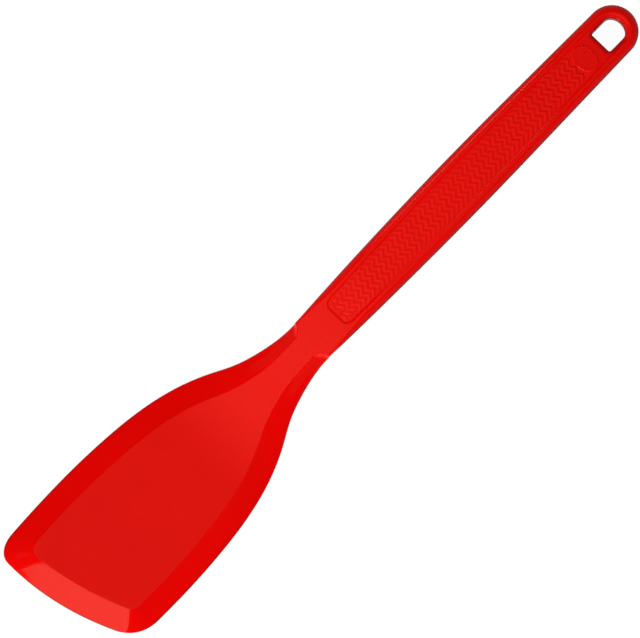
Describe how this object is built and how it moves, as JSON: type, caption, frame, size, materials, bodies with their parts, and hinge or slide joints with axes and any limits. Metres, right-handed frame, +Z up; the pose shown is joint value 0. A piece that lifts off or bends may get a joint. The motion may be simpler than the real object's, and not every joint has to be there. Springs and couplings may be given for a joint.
{
  "type": "silicone turner",
  "caption": "Flexible kitchen turner: wide slanted blade with bevelled edges, arched handle with a herringbone grip and a D-shaped hanging hole.",
  "frame": {"origin": "under the middle of the tool's length and width, on the surface that it lies on", "axes": "+X from the blade's front edge towards the handle's tip, +Y towards the leading corner of the slanted front edge, +Z up"},
  "size_m": [0.3, 0.0608, 0.0153],
  "materials": {
    "silicone": "soft satin moulded silicone, with raised herringbone ribs on the grip",
    "nylon": "dyed glass-filled nylon, seen only as a band in the wall of the hanging hole",
    "steel": "rolled spring steel, sealed inside the silicone"
  },
  "bodies": {
    "root": {"silicone_body": "silicone", "handle_core": "nylon", "blade_core": "steel"}
  },
  "joints": []
}
